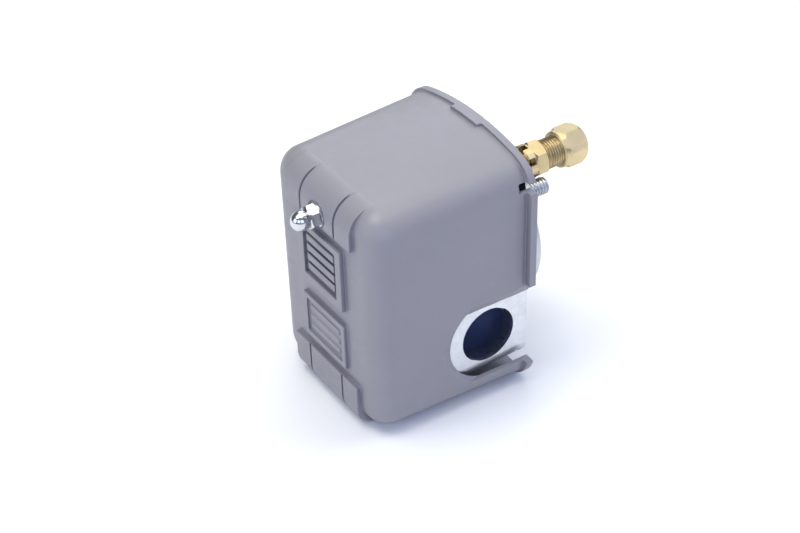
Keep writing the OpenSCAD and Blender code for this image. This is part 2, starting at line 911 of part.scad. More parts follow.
module compression_nut() {
    bore = thread_r + 0.05;
    corner = nut_af / cos(30) / 2;
    seat_y = valve_reach - 4.3;
    color([0.8, 0.66, 0.36])
        place()
            difference() {
                intersection() {
                    yhex(nut_af, nut_y0, valve_reach, valve_x, valve_z, 11.6);
                    turned(valve_x, valve_z)
                        polygon([[0, nut_y0], [corner - 1.1, nut_y0], [corner, nut_y0 + 0.8],
                                 [corner, valve_reach - 1.8], [corner - 1.5, valve_reach],
                                 [0, valve_reach]]);
                }
                ybar(bore, nut_y0 - 1, seat_y + 0.1, valve_x, valve_z);
                turned(valve_x, valve_z)
                    polygon([[0, seat_y], [bore, seat_y], [tube_r, seat_y + 1.3], [0, seat_y + 1.3]]);
                ybar(tube_r, seat_y, valve_reach + 1, valve_x, valve_z);
            }
}

module ferrule() {
    color([0.83, 0.7, 0.42])
        place()
            translate([0, valve_reach, 0])
                turned(valve_x, valve_z)
                    polygon([[tube_r, -8.3], [3.75, -8.3], [4.7, -7.3], [4.9, -6.2], [4.9, -5.6],
                             [4.2, -4.4], [tube_r, -4.4]]);
}

cover();
cover_washer();
cap_nut();
base_frame();
ground_screw();
pressure_flange();
diaphragm();
flange_screws();
diaphragm_piston();
operating_lever();
lever_pin();
lever_pin_clip();
range_stud();
range_stud_nut();
range_spring();
range_spring_seat();
range_nut();
differential_stud();
differential_washer();
differential_spring();
differential_nut();
contact_block();
block_screws();
terminal_plates();
wire_clamps();
terminal_screws();
fixed_contacts();
contact_carrier();
carrier_pin();
contact_bridges();
moving_contacts();
bridge_springs();
snap_spring();
valve_bracket();
bracket_stud();
valve_body();
valve_locknut();
valve_plunger();
valve_spring();
compression_nut();
ferrule();
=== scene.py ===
"""Looks of the pressure switch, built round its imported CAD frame.

Shapes are made in millimetres in the CAD's working frame: X across, Y = 0 at the cover's open rim with
the front at -Y, Z = 0 at the middle of the cover. finished() moves them into the row's frame in metres.
"""

import json
import math

import bmesh
import bpy
import numpy as np
from mathutils import Matrix, Vector

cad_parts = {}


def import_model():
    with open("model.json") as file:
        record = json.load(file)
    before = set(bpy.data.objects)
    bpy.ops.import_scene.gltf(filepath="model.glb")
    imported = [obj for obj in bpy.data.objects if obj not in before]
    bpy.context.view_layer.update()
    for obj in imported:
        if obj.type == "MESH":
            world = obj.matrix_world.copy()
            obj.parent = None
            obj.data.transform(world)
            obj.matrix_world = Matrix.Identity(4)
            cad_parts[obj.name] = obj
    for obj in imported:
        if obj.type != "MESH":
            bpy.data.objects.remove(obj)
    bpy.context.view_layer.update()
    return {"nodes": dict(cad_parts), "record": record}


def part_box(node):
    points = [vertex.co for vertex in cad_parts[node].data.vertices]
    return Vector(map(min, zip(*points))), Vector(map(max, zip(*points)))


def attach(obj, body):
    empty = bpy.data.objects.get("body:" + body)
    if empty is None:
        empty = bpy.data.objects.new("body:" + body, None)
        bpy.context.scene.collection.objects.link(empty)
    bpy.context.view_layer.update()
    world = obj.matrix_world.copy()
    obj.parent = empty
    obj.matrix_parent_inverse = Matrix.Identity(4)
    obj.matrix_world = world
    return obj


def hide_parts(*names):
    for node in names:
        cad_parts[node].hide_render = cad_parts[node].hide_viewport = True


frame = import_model()

# ---------------------------------------------------------------- the working frame, from the CAD
MM = 0.001
_, COVER_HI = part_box("cover")
FLANGE_LO, FLANGE_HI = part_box("pressure_flange")
RIM = COVER_HI.y
MIDDLE = (FLANGE_LO.z + FLANGE_HI.z) / 2
TO_ROW = Matrix.Translation((0, RIM, MIDDLE)) @ Matrix.Scale(MM, 4)

# the body that each CAD node rides on, and its material slot
BODY_OF = {n: b for b, nodes in frame["record"]["behaviour"]["bodies"].items() for n in nodes}
SLOT_OF = {s["node"]: s["material_slot"] for s in frame["record"]["subparts"]}


def span(node):
    """A CAD node's lowest and highest corner in working millimetres."""
    lo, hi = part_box(node)
    inverse = TO_ROW.inverted()
    return inverse @ lo, inverse @ hi


# ---------------------------------------------------------------- closed solids from rings of points
def solid(rings):
    """Joins rings of equally many points into a closed skin with flat ends."""
    rings = [np.asarray(r, float) for r in rings]
    n = len(rings[0])
    faces = [tuple(range(n)), tuple((len(rings) - 1) * n + i for i in range(n))]
    for k in range(len(rings) - 1):
        for i in range(n):
            j = (i + 1) % n
            faces.append((k * n + i, k * n + j, (k + 1) * n + j, (k + 1) * n + i))
    return np.vstack(rings), faces


def merged(*solids):
    """Several solids as one set of vertices and faces."""
    verts, faces, start = [], [], 0
    for v, f in solids:
        verts.append(v)
        faces += [tuple(i + start for i in face) for face in f]
        start += len(v)
    return np.vstack(verts), faces


def box(lo, hi):
    (x0, y0, z0), (x1, y1, z1) = lo, hi
    return solid([[(x0, y, z0), (x1, y, z0), (x1, y, z1), (x0, y, z1)] for y in (y0, y1)])


def along_x(points, x0, x1):
    """Extrudes an outline of (y, z) points along X."""
    return solid([[(x, y, z) for y, z in points] for x in (x0, x1)])


def slab(points, y0, y1):
    """Extrudes an outline of (x, z) points along Y."""
    return solid([[(x, y, z) for x, z in points] for y in (y0, y1)])


def full_turn(steps):
    """Evenly spaced angles round a circle."""
    return np.linspace(0, 2 * math.pi, steps, endpoint=False)


def ring(r, angles, y, x, z):
    """Points at radius r round an axis along Y."""
    return np.c_[x + r * np.cos(angles), np.full(len(angles), y), z + r * np.sin(angles)]


def lathe(profile, x=0.0, z=0.0, steps=72):
    """Turns a profile of (radius, y) about an axis along Y."""
    return solid([ring(r, full_turn(steps), y, x, z) for r, y in profile])


def hexagon(flats, y0, y1, x=0.0, z=0.0, turn=0.0):
    """A hexagonal bar along Y with a corner at angle turn from +X."""
    corners = np.radians(turn + 60 * np.arange(6))
    return solid([ring(flats / math.sqrt(3), corners, y, x, z) for y in (y0, y1)])


def thread(major, pitch, y0, y1, x=0.0, z=0.0, depth=0.6):
    """A bar along Y with a real screw thread, depth in pitches, and small chamfers at the ends."""
    around, rows_per_turn = 48, 8
    flank, crest = 1.35, 0.15  # how steep the flanks are, and how much of the groove stays flat crest
    count = max(2, round((y1 - y0) / pitch * rows_per_turn))
    a = full_turn(around)
    rings = []
    for y in np.linspace(y0, y1, count + 1):
        phase = ((y - y0) / pitch - a / (2 * math.pi)) % 1.0
        groove = np.clip(flank * (1 - np.abs(2 * phase - 1)) - crest, 0, 1) * depth * pitch
        chamfer = min(y - y0, y1 - y)
        rings.append(ring(np.minimum(major - groove, major - depth * pitch + chamfer), a, y, x, z))
    return solid(rings)


def coil(mean, wire, turns, y0, y1, x=0.0, z=0.0):
    """A compression spring along Y with closed ends. mean and wire are radii."""
    steps, sides = 40, 12
    length, out = abs(y1 - y0), 1 if y1 > y0 else -1
    closed = 3.1 * wire
    n = np.linspace(0, turns, int(turns * steps) + 1)
    height = np.interp(n, [0, 1, turns - 1, turns], [wire, closed, length - closed, length - wire])
    b = full_turn(sides)
    r = mean + wire * np.cos(b)
    return solid([np.c_[x + r * math.cos(t), y0 + out * (h + wire * np.sin(b)), z + r * math.sin(t)]
                  for t, h in zip(n * 2 * math.pi, height)])


# ---------------------------------------------------------------- mesh objects
SHARP = 32  # edges that turn by more degrees than this are rounded
TRUE_FLAT = math.radians(0.8)  # faces closer to one plane than this become one
SAME_POINT = 1e-4  # points closer than this, in millimetres, become one


def mesh_object(name, shape):
    """A new object from (vertices, faces), with its normals outwards."""
    mesh = bpy.data.meshes.new(name)
    verts, faces = shape
    mesh.from_pydata([tuple(v) for v in verts], [], faces)
    bm = bmesh.new()
    bm.from_mesh(mesh)
    bmesh.ops.recalc_face_normals(bm, faces=bm.faces)
    bm.to_mesh(mesh)
    bm.free()
    obj = bpy.data.objects.new(name, mesh)
    bpy.context.collection.objects.link(obj)
    return obj


def mesh_data(obj):
    """An object's mesh as (vertices, faces)."""
    return np.array([v.co for v in obj.data.vertices]), [tuple(p.vertices) for p in obj.data.polygons]


def modified(obj, kind, **settings):
    """Applies one modifier to the object's mesh."""
    m = obj.modifiers.new(kind.lower(), kind)
    for key, value in settings.items():
        setattr(m, key, value)
    evaluated = obj.evaluated_get(bpy.context.evaluated_depsgraph_get())
    mesh = bpy.data.meshes.new_from_object(evaluated)
    obj.modifiers.clear()
    old, obj.data = obj.data, mesh
    mesh.name = old.name
    bpy.data.meshes.remove(old)


def combined(obj, shape, operation):
    """Boolean of an object with a solid: UNION, DIFFERENCE or INTERSECT."""
    tool = mesh_object("tool", shape)
    modified(obj, "BOOLEAN", object=tool, operation=operation, solver="EXACT", use_self=True)
    bpy.data.objects.remove(tool)


def joined(first, second):
    """Joins the second object into the first."""
    both = [first, second]
    with bpy.context.temp_override(active_object=first, object=first, selected_objects=both,
                                   selected_editable_objects=both):
        bpy.ops.object.join()
    return first


def turned_hexagon(name, flats, profile, x, z, turn, steps=72):
    """A hexagonal bar along Y whose corners are turned to a profile of (radius, y)."""
    ends = [y for _, y in profile]
    body = mesh_object(name, hexagon(flats, min(ends), max(ends), x, z, turn))
    combined(body, lathe(profile, x, z, steps), "INTERSECT")
    return body


def smoothed(obj, degrees):
    """Smooth shading, but across edges that turn by more than degrees."""
    obj.data.shade_smooth()
    obj.data.set_sharp_from_angle(angle=math.radians(degrees))


def softened(obj, width, segments=2):
    """Rounds the sharp edges, and smooths the shading of the rest."""
    bm = bmesh.new()
    bm.from_mesh(obj.data)
    bmesh.ops.remove_doubles(bm, verts=bm.verts, dist=SAME_POINT)
    bmesh.ops.dissolve_limit(bm, angle_limit=TRUE_FLAT, verts=bm.verts, edges=bm.edges)
    bm.to_mesh(obj.data)
    bm.free()
    modified(obj, "BEVEL", width=width, segments=segments, limit_method="ANGLE",
             angle_limit=math.radians(SHARP), harden_normals=False, miter_outer="MITER_ARC")
    smoothed(obj, SHARP)
    modified(obj, "WEIGHTED_NORMAL", keep_sharp=True, weight=80)


def finished(obj, node):
    """Puts a piece made in working millimetres in the row's frame, in place of a CAD node."""
    obj.data.transform(TO_ROW)
    obj.data.materials.clear()
    obj.data.materials.append(MATERIAL[SLOT_OF[node]])
    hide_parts(node)
    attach(obj, BODY_OF[node])


# ---------------------------------------------------------------- materials
class Surface:
    """A Principled material whose colour, roughness and bump come from procedural nodes.

    Scales of noise and cells are per metre. Depths and distances are in metres.
    """

    def __init__(self, name, metallic=0.0, specular=0.5):
        self.material = bpy.data.materials.new(name)
        self.material.use_nodes = True
        self.tree = self.material.node_tree
        self.shader = next(n for n in self.tree.nodes if n.type == "BSDF_PRINCIPLED")
        self.shader.inputs["Metallic"].default_value = metallic
        self.shader.inputs["Specular IOR Level"].default_value = specular
        self.place = self.add("ShaderNodeTexCoord").outputs["Object"]
        self.bumped = None

    def add(self, kind, inputs=None, **settings):
        """A new node, with values or other nodes' outputs in its inputs."""
        node = self.tree.nodes.new(kind)
        for key, value in settings.items():
            setattr(node, key, value)
        for key, value in (inputs or {}).items():
            self.put(value, node.inputs[key])
        return node

    def put(self, value, socket):
        """Links an output, or sets a plain value, on a socket."""
        if isinstance(value, bpy.types.NodeSocket):
            self.tree.links.new(value, socket)
        else:
            socket.default_value = value

    def noise(self, scale, detail, rough=0.55, stretch=None):
        """Soft noise from 0 to 1, drawn out along the axes where stretch is under 1."""
        place = self.place
        if stretch:
            place = self.add("ShaderNodeMapping", {"Vector": place, "Scale": stretch}).outputs["Vector"]
        return self.add("ShaderNodeTexNoise", {"Vector": place, "Scale": scale, "Detail": detail,
                                               "Roughness": rough}).outputs["Fac"]

    def cells(self, scale):
        """One random shade for each crystal-like cell."""
        return self.add("ShaderNodeTexVoronoi", {"Vector": self.place, "Scale": scale}).outputs["Color"]

    def ramp(self, value, low, high, start=0.0, end=1.0):
        """low where the value is at start, and high where it is at end."""
        return self.add("ShaderNodeMapRange", {"Value": value, "From Min": start, "From Max": end,
                                               "To Min": low, "To Max": high}).outputs["Result"]

    def mix(self, factor, a, b):
        """Colour a at factor 0 and b at 1."""
        node = self.add("ShaderNodeMix", data_type="RGBA")
        sockets = [s for s in node.inputs if s.type == "RGBA"]
        self.put(factor, node.inputs[0])
        self.put(a, sockets[0])
        self.put(b, sockets[1])
        return next(s for s in node.outputs if s.type == "RGBA")

    def corners(self, distance):
        """1 in the open and less in crevices narrower than the distance."""
        node = self.add("ShaderNodeAmbientOcclusion", {"Distance": distance}, samples=8, only_local=True)
        return node.outputs["AO"]

    def bump(self, height, distance, strength):
        """Adds a layer of bump on top of those before."""
        inputs = {"Height": height, "Distance": distance, "Strength": strength}
        if self.bumped:
            inputs["Normal"] = self.bumped
        self.bumped = self.add("ShaderNodeBump", inputs).outputs["Normal"]

    def done(self, colour, roughness):
        """Connects the shader, and gives the material."""
        self.put(colour, self.shader.inputs["Base Color"])
        self.put(roughness, self.shader.inputs["Roughness"])
        if self.bumped:
            self.put(self.bumped, self.shader.inputs["Normal"])
        return self.material


def shade(rgb, k):
    """A colour k times as bright, with its alpha."""
    return (*[min(1.0, c * k) for c in rgb], 1.0)


def moulded(name, rgb, rough, grain=2200, dust=0.0):
    """Moulded plastic or rubber: soft mottling, a fine grain, painted shade in crevices and a little dust.
    """
    painted_shade_reach, grain_depth, wave_depth = 2.2 * MM, 0.02 * MM, 0.02 * MM
    painted_crevice_shade = (rgb[0] * 0.2, rgb[1] * 0.2, rgb[2] * 0.32, 1.0)
    s = Surface(name)
    mottled = s.mix(s.ramp(s.noise(38, 4), 0, 1, 0.3, 0.7), shade(rgb, 0.97), shade(rgb, 1.03))
    rubbed = s.mix(s.ramp(s.noise(420, 3, 0.7), 0, 0.3, 0.56, 0.72), mottled, shade(rgb, 1.1))
    dusty = s.mix(s.ramp(s.noise(900, 2), 0, dust, 0.6, 0.75), rubbed, shade(rgb, 0.7))
    # painted shade: where ambient occlusion finds a crevice, the colour is darkened towards a bluish dark
    with_painted_shade = s.mix(s.ramp(s.corners(painted_shade_reach), 1.0, 0.0, 0.3, 0.93), dusty, painted_crevice_shade)
    s.bump(s.noise(grain, 2), grain_depth, 0.5)
    s.bump(s.noise(110, 2), wave_depth, 0.2)
    return s.done(with_painted_shade, s.ramp(s.noise(260, 4), rough - 0.05, rough + 0.07, 0.3, 0.7))


def plated(name, rgb, rough, spangle=0.0, streak=(1, 1, 1), scratch=0.35, metallic=1.0):
    """Plated or machined metal: spangle, drawn streaks, hazy patches, fine scratches and painted shade in
    crevices.
    """
    painted_shade_reach, scratch_depth, wave_depth = 1.2 * MM, 0.015 * MM, 0.06 * MM
    s = Surface(name, metallic=metallic)
    patches = s.mix(s.ramp(s.noise(120, 4, 0.6), 0, 1, 0.35, 0.65), shade(rgb, 0.9), shade(rgb, 1.04))
    crystals = s.mix(s.ramp(s.cells(700), 0, 1), shade(rgb, 0.7), shade(rgb, 1.1))
    flakes = s.mix(spangle, patches, crystals)
    # painted shade: where ambient occlusion finds a crevice, the colour is darkened towards a third of
    # itself
    with_painted_shade = s.mix(s.ramp(s.corners(painted_shade_reach), 0.8, 0.0, 0.3, 0.95), flakes, shade(rgb, 0.3))
    lines = s.noise(900, 3, 0.6, streak)
    s.bump(lines, scratch_depth, scratch)
    s.bump(s.noise(60, 2), wave_depth, 0.25)
    return s.done(with_painted_shade, s.ramp(lines, rough - 0.07, rough + 0.13, 0.3, 0.7))


MATERIAL = {
    "cover_plastic": moulded("cover_plastic", (0.252, 0.243, 0.266), 0.42, dust=0.12),
    "block_plastic": moulded("block_plastic", (0.05, 0.07, 0.16), 0.33, grain=1500),
    "carrier_plastic": moulded("carrier_plastic", (0.018, 0.017, 0.017), 0.38, grain=1500),
    "rubber": moulded("rubber", (0.02, 0.02, 0.022), 0.7),
    "plated_steel": plated("plated_steel", (0.7, 0.72, 0.75), 0.34, spangle=0.16, streak=(0.2, 1, 1)),
    "plated_screw": plated("plated_screw", (0.76, 0.78, 0.8), 0.27),
    "nickel_plate": plated("nickel_plate", (0.72, 0.725, 0.74), 0.15, scratch=0.12),
    "cast_flange": plated("cast_flange", (0.62, 0.64, 0.66), 0.45, spangle=0.15, scratch=0.8),
    "spring_steel": plated("spring_steel", (0.42, 0.43, 0.45), 0.33),
    "black_oxide": plated("black_oxide", (0.05, 0.05, 0.055), 0.42),
    "brass": plated("brass", (0.71, 0.57, 0.32), 0.36, streak=(1, 0.3, 1), scratch=0.06),
    "plated_brass": plated("plated_brass", (0.78, 0.64, 0.36), 0.26),
    "copper_strip": plated("copper_strip", (0.72, 0.38, 0.22), 0.3, streak=(0.2, 1, 1)),
    "silver": plated("silver", (0.85, 0.84, 0.82), 0.3),
    "green_screw": plated("green_screw", (0.02, 0.26, 0.09), 0.3, metallic=0.6),
}

# ---------------------------------------------------------------- cover
COVER_D = 65.0  # from the rim to the flat front
WALL = 2.0
DRAFT = 1.5  # how much further in each side is at the front
EDGE = 9.1  # radius of the front's edges
CORNER = 10.8  # radius of the four long edges
RIM_W, RIM_H = 35.0, 47.65  # half width and half height at the rim
CROWN, ARCH_R = 3.85, 110.0  # the arched top at the rim: its rise above the half height, and its radius
FRONT_W, FRONT_H = RIM_W - DRAFT, RIM_H - DRAFT + 0.1
FRONT = -COVER_D
STUD_Z = 34.7  # height of the range stud, which carries the cap nut

# lip round the rim: how far it stands out at the sides and over the top, its depth and corner radius
LIP_OUT, LIP_RISE, LIP_D, LIP_CORNER = 2.5, 0.9, 2.8, 13.2
FOOT = 0.25  # how far the lip's bottom stands below the body
LIP_GAP = (-37.5, -2.3)  # heights between which the lip stops beside the conduit opening
TAB_HALF, TAB_LOW, TAB_D = 9.5, 44, 4.7  # the deeper stretch in the middle of the top lip
NOTCH_LO, NOTCH_HI = (30, -5.9, 37.7), (45, 2, 41.4)  # slot in the rim beside the bracket stud

# raised bands at the top and bottom of the front, with two grooves each that fade over some degrees of
# the band's arc. end is where the arc's centre is and start the band's inner edge, both from the middle
BAND_H, BAND_HALF = 1.8, 20.8
BAND = FRONT - BAND_H
GROOVE_X, GROOVE_W, GROOVE_D, GROOVE_FADE = 10.85, 0.95, 0.8, 22
TOP_BAND = {"up": 1, "radius": 10.0, "end": FRONT_H - 10.0, "start": 30.6}
LOW_BAND = {"up": -1, "radius": 8.4, "end": RIM_H + FOOT - 8.4, "start": 29.5}

# two raised panels, each with a window and plain slats in it. half is half the width, and height is
# measured from the flat front
SQUARE = {"half": 14.1, "low": 0.8, "high": 26.4, "height": 1.9}
SQUARE_WINDOW = {"half": 10.5, "low": 4.2, "high": 23.8, "height": 0.2}
SQUARE_SLATS = {"half": 8.9, "height": 1.3, "count": 4, "share": 0.7}
NAME = {"half": 13.65, "low": -25.3, "high": -6.2, "height": 1.5}
NAME_WINDOW = {"half": 11.5, "low": -23.1, "high": -8.4, "height": 0.6}
NAME_SLATS = {"half": 9.5, "height": 1.1, "count": 3, "share": 0.45}

# conduit openings: an arc round the conduit's axis, from CUT_LOW below it to a top above it
CONDUIT_Y, CONDUIT_Z = -16.7, -20.7
CUT_LOW = 16.4
CUT_R, CUT_TOP = 17.1, 13.9
BEVEL_R, BEVEL_TOP, BEVEL_D = 19.9, 17.7, 1.8  # outer edge of the bevel round it, and its depth

VOXEL, TRIANGLES = 0.25, 180000  # fineness of the remesh, and what it is thinned to
OVER = 0.02  # how far a cutter passes a face that it ends at


def outline(side, bottom, radius, top, arched=True):
    """Closed (x, z) outline with rounded corners and an arched or flat top."""
    arc, half_top = 20, 15
    cx, cz = side - radius, radius - bottom
    centre = top - ARCH_R
    up = math.sqrt((ARCH_R - radius) ** 2 - cx ** 2) + centre if arched else top - radius
    tilt = math.asin(cx / (ARCH_R - radius)) if arched else 0.0
    low_turn, top_turn = np.linspace(-math.pi / 2, 0, arc), np.linspace(0, math.pi / 2 - tilt, arc)
    x = np.linspace(cx + radius * math.sin(tilt), 0, half_top)[1:]
    z = centre + np.sqrt(ARCH_R ** 2 - x ** 2) if arched else np.full(len(x), top)
    right = np.vstack([np.c_[cx + radius * np.cos(low_turn), cz + radius * np.sin(low_turn)],
                       np.c_[cx + radius * np.cos(top_turn), up + radius * np.sin(top_turn)],
                       np.c_[x, z]])
    return np.vstack([right, right[::-1][1:] * (-1, 1)])


def shell(inset, y_end):
    """The cover's body: arched at the rim, flat in front, with rounded front edges."""
    r, edge, y_edge = CORNER - inset, EDGE - inset, FRONT + EDGE
    rim = outline(RIM_W - inset, RIM_H - inset, r, RIM_H + CROWN - inset)

    def front(shrink):
        s = inset + shrink
        return outline(FRONT_W - s, FRONT_H - s, r - shrink, FRONT_H - s, arched=False)

    rings = []
    for t in np.linspace(0, 1, 25):
        y = y_end + (y_edge - y_end) * t
        rings.append([(x, y, z) for x, z in rim * (1 - t) + front(0) * t])
    for a in np.radians(np.linspace(0, 90, 15)[1:]):
        rings.append([(x, y_edge - edge * math.sin(a), z) for x, z in front(edge * (1 - math.cos(a)))])
    return solid(rings)


def rim_lip():
    """The lip round the rim, and the deeper tab in the middle of its top."""
    lip = outline(RIM_W + LIP_OUT, RIM_H + FOOT, LIP_CORNER, RIM_H + CROWN + LIP_RISE)
    tab = [(x, z) for x, z in lip if abs(x) <= TAB_HALF and z > 0]
    return [slab(lip, -LIP_D, 0), slab(tab + [(-TAB_HALF, TAB_LOW), (TAB_HALF, TAB_LOW)], -TAB_D, -1)]


def lip_gap(side):
    """Cutter that ends the lip above and below one conduit opening."""
    across = sorted((side * (RIM_W + OVER), side * 50))
    return box((across[0], -12, LIP_GAP[0]), (across[1], 2, LIP_GAP[1]))


def band(up, radius, end, start):
    """Raised band that runs up the front and over the edge in an arc."""
    a = np.radians(np.linspace(180, 20, 33))
    arc = np.c_[BAND + radius + radius * np.cos(a), end + radius * np.sin(a)]
    points = np.vstack([[(BAND + radius, start), (BAND, start)], arc])
    return along_x([(y, up * z) for y, z in points], -BAND_HALF, BAND_HALF)


def band_groove(x, up, radius, end, start):
    """Fine groove down a band and over its arc, fading out in the arc's last quarter."""
    degrees = np.linspace(180, 90, 25)
    a, floor_r = np.radians(degrees), radius - GROOVE_D * np.clip((degrees - 90) / GROOVE_FADE, 0, 1)
    bottom = np.c_[BAND + radius + floor_r * np.cos(a), end + floor_r * np.sin(a)]
    points = np.vstack([[(BAND + GROOVE_D, start - 1)], bottom,
                        [(BAND + radius, end + radius + 1), (BAND - 1, end + radius + 1),
                         (BAND - 1, start - 1)]])
    return along_x([(y, up * z) for y, z in points], x - GROOVE_W / 2, x + GROOVE_W / 2)


def cut_outline(r, top):
    """Outline of a conduit opening in (y, z): an arc in front, open towards the rim."""
    past_rim = 8
    a = np.linspace(-math.asin(CUT_LOW / r), math.asin(top / r), 49)
    arc = np.c_[CONDUIT_Y - r * np.cos(a), CONDUIT_Z + r * np.sin(a)]
    return np.vstack([[(past_rim, CONDUIT_Z - CUT_LOW)], arc, [(past_rim, CONDUIT_Z + top)]])


def side_cut(side):
    """Opening in one side wall, with a bevel round it that follows the wall's draft."""
    lean = DRAFT / (COVER_D - EDGE)
    hole, wide = cut_outline(CUT_R, CUT_TOP), cut_outline(BEVEL_R, BEVEL_TOP)

    def layer(points, out):
        return [(side * (RIM_W + y * lean + out), y, z) for y, z in points]

    return [solid([layer(hole, -9), layer(hole, 4)]),
            solid([layer(hole, -BEVEL_D), layer(wide, OVER), layer(wide, 1.0)])]


def on_front(half, low, high, height, root=2):
    """Block that stands out from the flat front, and reaches into the wall by its root."""
    return box((-half, FRONT - height, low), (half, FRONT + root, high))


def window(half, low, high, height):
    """Cutter for a panel's window, down to a height above the flat front."""
    return box((-half, FRONT - 4, low), (half, FRONT - height, high))


def slats(opening, half, height, count, share):
    """Evenly spaced slats in a window, which fill a share of its height."""
    low, pitch = opening["low"], (opening["high"] - opening["low"]) / (count + share)
    return [on_front(half, low + (i + 0.5) * pitch, low + (i + 0.5 + share) * pitch, height, root=1)
            for i in range(count)]


def nut_seat():
    """Cutter for the washer's round seat in the top band and the hole for the stud."""
    seat_r, seat_d, hole_r = 5.2, 0.9, 2.6
    return lathe([(seat_r, BAND - 3), (seat_r, BAND + seat_d), (hole_r, BAND + seat_d + 0.01),
                  (hole_r, FRONT + 6)], 0, STUD_Z)


def cover():
    """One moulding: the cut body is remeshed so that every edge gets a small radius."""
    body = mesh_object("cover_body", merged(
        shell(0, 0), *rim_lip(), band(**TOP_BAND), band(**LOW_BAND), on_front(**SQUARE), on_front(**NAME)))
    combined(body, merged(
        shell(WALL, 1.0), window(**SQUARE_WINDOW), window(**NAME_WINDOW),
        *[band_groove(s * GROOVE_X, **b) for s in (-1, 1) for b in (TOP_BAND, LOW_BAND)],
        nut_seat(), *side_cut(1), *side_cut(-1), lip_gap(-1), lip_gap(1),
        box(NOTCH_LO, NOTCH_HI)), "DIFFERENCE")
    whole = mesh_object("cover_moulding", merged(
        mesh_data(body), *slats(SQUARE_WINDOW, **SQUARE_SLATS), *slats(NAME_WINDOW, **NAME_SLATS)))
    bpy.data.objects.remove(body)
    modified(whole, "REMESH", mode="VOXEL", voxel_size=VOXEL, adaptivity=0.0)
    modified(whole, "SMOOTH", factor=0.5, iterations=2)
    modified(whole, "DECIMATE", ratio=TRIANGLES / (2 * len(whole.data.polygons)))
    whole.data.shade_smooth()
    modified(whole, "WEIGHTED_NORMAL", mode="FACE_AREA", weight=100)
    finished(whole, "cover")


cover()


# ---------------------------------------------------------------- cap nut
def cap_nut():
    """A hexagon with turned corners, and a dome on a short neck."""
    lo, hi = span("cap_nut")
    base, tip = hi.y, lo.y
    flats, turn, corner = 7.94, 42, 4.75
    front = base - 4.1
    dome, neck, bore = 3.6, 3.25, 2.1
    centre = tip + dome
    body = turned_hexagon("cap_nut_body", flats,
                          [(3.9, base), (corner, base - 0.75), (corner, base - 3.1), (3.7, front)],
                          0, STUD_Z, turn)
    a = np.radians(np.linspace(0, 88, 20))
    profile = [(neck, front + 0.5), (neck, front - 0.4), (neck + 0.3, front - 0.8), (dome, centre + 0.6)]
    profile += [(dome * math.cos(t), centre - dome * math.sin(t)) for t in a]
    combined(body, lathe(profile, 0, STUD_Z), "UNION")
    combined(body, lathe([(bore, base + 1), (bore, centre - 0.6)], 0, STUD_Z, 32), "DIFFERENCE")
    softened(body, 0.14)
    finished(body, "cap_nut")


cap_nut()

# ---------------------------------------------------------------- brass release valve
VALVE_X, VALVE_Z = 20.0, 38.0
TUBE_R = 3.25  # bore for the 1/4 inch tube
FITTING_R, FITTING_PITCH = 5.55, 1.058  # 7/16-24 thread


def prong_slots():
    """Six cutters that part the collar behind the lock nut into prongs."""
    slots = []
    for k in range(6):
        turn = (Matrix.Translation((VALVE_X, 0, VALVE_Z))
                @ Matrix.Rotation(math.radians(60 * k + 30), 4, "Y"))
        verts, faces = box((2.9, 4.4, -1.25), (9, 8.1, 1.25))
        slots.append((np.array([turn @ Vector(v) for v in verts]), faces))
    return slots


def valve_body():
    """Neck with its pronged collar, hexagon and threaded spigot, bored right through."""
    x, z = VALVE_X, VALVE_Z
    _, nut_end = span("compression_nut")
    spigot, socket = nut_end.y - 7.6, nut_end.y - 12.6
    neck, stem, chamber, passage, air = 4.76, 1.55, 3.4, 2.2, 1.5
    body = mesh_object("valve_body_piece", lathe([(neck, -4.6), (neck, 9)], x, z))
    combined(body, lathe([(6.1, 5.6), (6.45, 6.0), (6.45, 8.7), (5.9, 9.2)], x, z), "UNION")
    bar = turned_hexagon("bar", 12.3, [(6.0, 8.6), (7.1, 9.4), (7.1, 13.0), (6.0, 13.7)], x, z, 41.6)
    combined(body, mesh_data(bar), "UNION")
    bpy.data.objects.remove(bar)
    combined(body, lathe([(4.9, 13), (4.9, 15)], x, z), "UNION")
    bores = [lathe([(stem, -5), (stem, 2)], x, z, 32),
             lathe([(chamber, 1.6), (chamber, 8.6), (passage, 8.61), (passage, 15.5)], x, z, 40)]
    combined(body, merged(*prong_slots(), *bores), "DIFFERENCE")
    softened(body, 0.16)
    tube = mesh_object("spigot", thread(FITTING_R, FITTING_PITCH, 14.4, spigot, x, z))
    combined(tube, lathe([(air, 14), (air, socket), (TUBE_R, socket + 0.01), (TUBE_R, spigot - 1.4),
                          (4.8, spigot + 0.2)], x, z, 40), "DIFFERENCE")
    smoothed(tube, 50)
    finished(joined(body, tube), "valve_body")


def compression_nut():
    """Hexagon with a turned collar towards the valve, and bored for the thread and the tube."""
    x, z = VALVE_X, VALVE_Z
    lo, hi = span("compression_nut")
    y0, y1, flats, turn = lo.y, hi.y, 13.4, 11.6
    corner, thread_bore = flats / math.sqrt(3), FITTING_R + 0.05
    body = turned_hexagon(
        "compression_nut_piece", flats,
        [(corner - 1.5, y0), (corner - 0.95, y0 + 0.5), (corner - 0.8, y0 + 2.2), (corner + 0.05, y0 + 3.1),
         (corner + 0.05, y1 - 2.3), (corner - 0.5, y1 - 1.2), (corner - 1.6, y1)], x, z, turn, 96)
    combined(body, lathe([(thread_bore, y0 - 1), (thread_bore, y1 - 4.3), (TUBE_R, y1 - 3.0),
                          (TUBE_R, y1 + 1)], x, z, 64), "DIFFERENCE")
    softened(body, 0.22, segments=3)
    finished(body, "compression_nut")


valve_body()
compression_nut()

